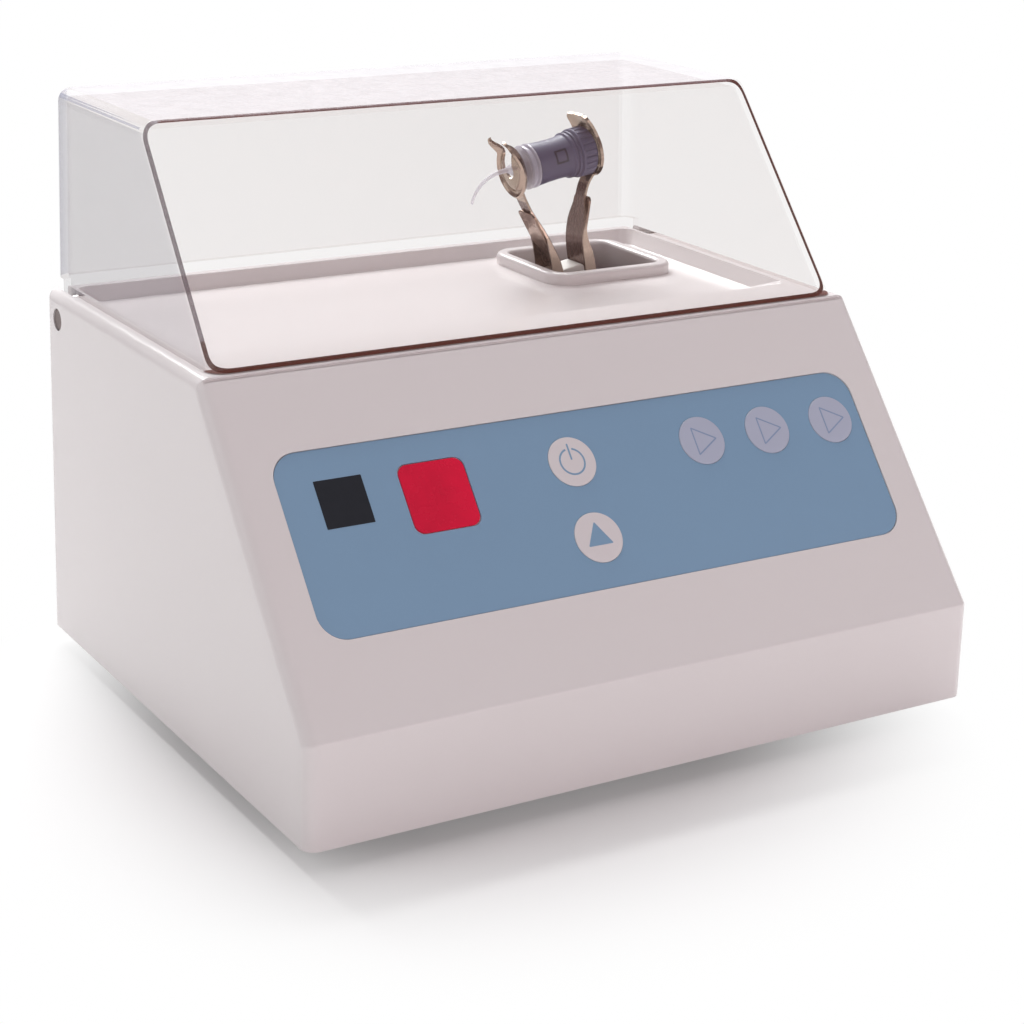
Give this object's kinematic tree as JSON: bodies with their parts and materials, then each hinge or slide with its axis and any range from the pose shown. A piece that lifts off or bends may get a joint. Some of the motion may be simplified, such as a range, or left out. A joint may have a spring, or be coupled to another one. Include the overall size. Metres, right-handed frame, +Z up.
{
  "type": "dental amalgamator",
  "caption": "Bench dental capsule mixer: white housing with sloping blue keypad, recessed deck, rocking fork holding a capsule through a raised collar, under a clear hinged lid.",
  "frame": {"origin": "middle of the footprint, on the surface the feet stand on", "axes": "+X to the user's right, along the motor shaft; +Y from the front to the back; +Z up"},
  "size_m": [0.22, 0.184, 0.176],
  "materials": {
    "housing_white": "smooth glossy off-white moulding",
    "base_steel": "satin grey paint on sheet steel",
    "foot_rubber": "matt black rubber",
    "screw_steel": "zinc-plated steel",
    "overlay_blue": "satin blue membrane",
    "window_red": "translucent red lens, shown opaque",
    "key_white": "satin white key",
    "key_pale_blue": "satin pale blue key",
    "board_green": "solder-masked laminate",
    "component_black": "moulded component",
    "capacitor_sleeve": "shrink sleeve",
    "lid_clear": "clear moulding with a slight warm tint",
    "pin_black": "black steel pin",
    "magnet_nickel": "nickel-plated magnet",
    "bracket_steel": "zinc-plated bent sheet steel",
    "spring_steel": "wound spring wire",
    "motor_steel": "drawn steel can",
    "magnet_ferrite": "sintered ferrite",
    "bearing_steel": "ground bearing steel",
    "shaft_steel": "ground shaft steel",
    "rotor_iron": "laminated iron",
    "commutator_copper": "turned copper segments",
    "hub_white": "white acetal",
    "clip_metal": "polished spring metal",
    "leaf_metal": "polished pale bronze strip",
    "capsule_slate": "satin slate-blue moulding",
    "capsule_clear": "clear moulding",
    "inlet_black": "moulded black inlet",
    "contact_nickel": "nickel-plated contact",
    "fuse_glass": "glass tube with plated caps",
    "core_iron": "varnished laminations",
    "winding_tape": "yellow tape over copper winding"
  },
  "bodies": {
    "housing": {"upper_housing": "housing_white", "base_plate": "base_steel", "rubber_feet": "foot_rubber", "foot_screws": "screw_steel", "housing_screws": "screw_steel", "keypad_overlay": "overlay_blue", "display_window": "window_red", "key_switches": "component_black", "control_board": "board_green", "display_module": "component_black", "board_screws": "screw_steel", "power_board": "board_green", "filter_capacitors": "capacitor_sleeve", "hinge_pins": "pin_black", "lid_sensor": "component_black", "motor_bracket": "bracket_steel", "restraint_springs": "spring_steel", "rubber_isolators": "foot_rubber", "isolator_bolts": "screw_steel", "motor_can": "motor_steel", "motor_end_bell": "component_black", "motor_magnets": "magnet_ferrite", "shaft_bearings": "bearing_steel", "motor_screws": "screw_steel", "inlet_body": "inlet_black", "inlet_pins": "contact_nickel", "inlet_screws": "screw_steel", "transformer_core": "core_iron", "transformer_winding": "winding_tape"},
    "lid": {"lid_shell": "lid_clear", "lid_magnet": "magnet_nickel"},
    "rotor": {"motor_shaft": "shaft_steel", "rotor_core": "rotor_iron", "commutator": "commutator_copper", "cooling_fan": "component_black", "wobble_sleeve": "shaft_steel", "counterweight": "shaft_steel", "retaining_ring": "spring_steel"},
    "fork": {"fork_hub": "hub_white", "hub_bearings": "bearing_steel", "clip_arm_left": "clip_metal", "clip_arm_right": "clip_metal", "backing_leaf_left": "leaf_metal", "backing_leaf_right": "leaf_metal", "clip_screws": "screw_steel", "capsule_body": "capsule_slate", "capsule_cap": "capsule_slate", "capsule_collar": "capsule_clear", "capsule_nozzle": "capsule_clear"},
    "power_key": {"key_power": "key_white"},
    "start_key": {"key_start": "key_white"},
    "program_key_1": {"key_program_1": "key_pale_blue"},
    "program_key_2": {"key_program_2": "key_pale_blue"},
    "program_key_3": {"key_program_3": "key_pale_blue"},
    "drawer": {"fuse_drawer": "inlet_black", "fuses": "fuse_glass"}
  },
  "joints": [
    {"name": "lid_hinge", "type": "hinge", "parent": "housing", "child": "lid", "pos_m": [0, 0.0794, 0.1081], "axis": [-1, 0, 0], "range_deg": [0, 92]},
    {"name": "shaft_spin", "type": "hinge", "parent": "housing", "child": "rotor", "pos_m": [0.065, 0.058, 0.076], "axis": [1, 0, 0], "continuous": true},
    {"name": "fork_rock", "type": "hinge", "parent": "rotor", "child": "fork", "pos_m": [0.065, 0.058, 0.076], "axis": [0.9848, 0, 0.1736], "continuous": true, "deforming": ["restraint_springs"]},
    {"name": "power_key_press", "type": "slide", "parent": "housing", "child": "power_key", "axis": [0, 0.769, -0.6392], "range_m": [0, 0.0004], "stiffness_N_per_m": 400, "springref_m": -0.002},
    {"name": "start_key_press", "type": "slide", "parent": "housing", "child": "start_key", "axis": [0, 0.769, -0.6392], "range_m": [0, 0.0004], "stiffness_N_per_m": 400, "springref_m": -0.002},
    {"name": "program_key_1_press", "type": "slide", "parent": "housing", "child": "program_key_1", "axis": [0, 0.769, -0.6392], "range_m": [0, 0.0004], "stiffness_N_per_m": 400, "springref_m": -0.002},
    {"name": "program_key_2_press", "type": "slide", "parent": "housing", "child": "program_key_2", "axis": [0, 0.769, -0.6392], "range_m": [0, 0.0004], "stiffness_N_per_m": 400, "springref_m": -0.002},
    {"name": "program_key_3_press", "type": "slide", "parent": "housing", "child": "program_key_3", "axis": [0, 0.769, -0.6392], "range_m": [0, 0.0004], "stiffness_N_per_m": 400, "springref_m": -0.002},
    {"name": "fuse_drawer_slide", "type": "slide", "parent": "housing", "child": "drawer", "axis": [0, 1, 0], "range_m": [0, 0.014]}
  ],
  "couplings": [
    {"joint": "fork_rock", "follows": "shaft_spin", "ratio": -1}
  ]
}
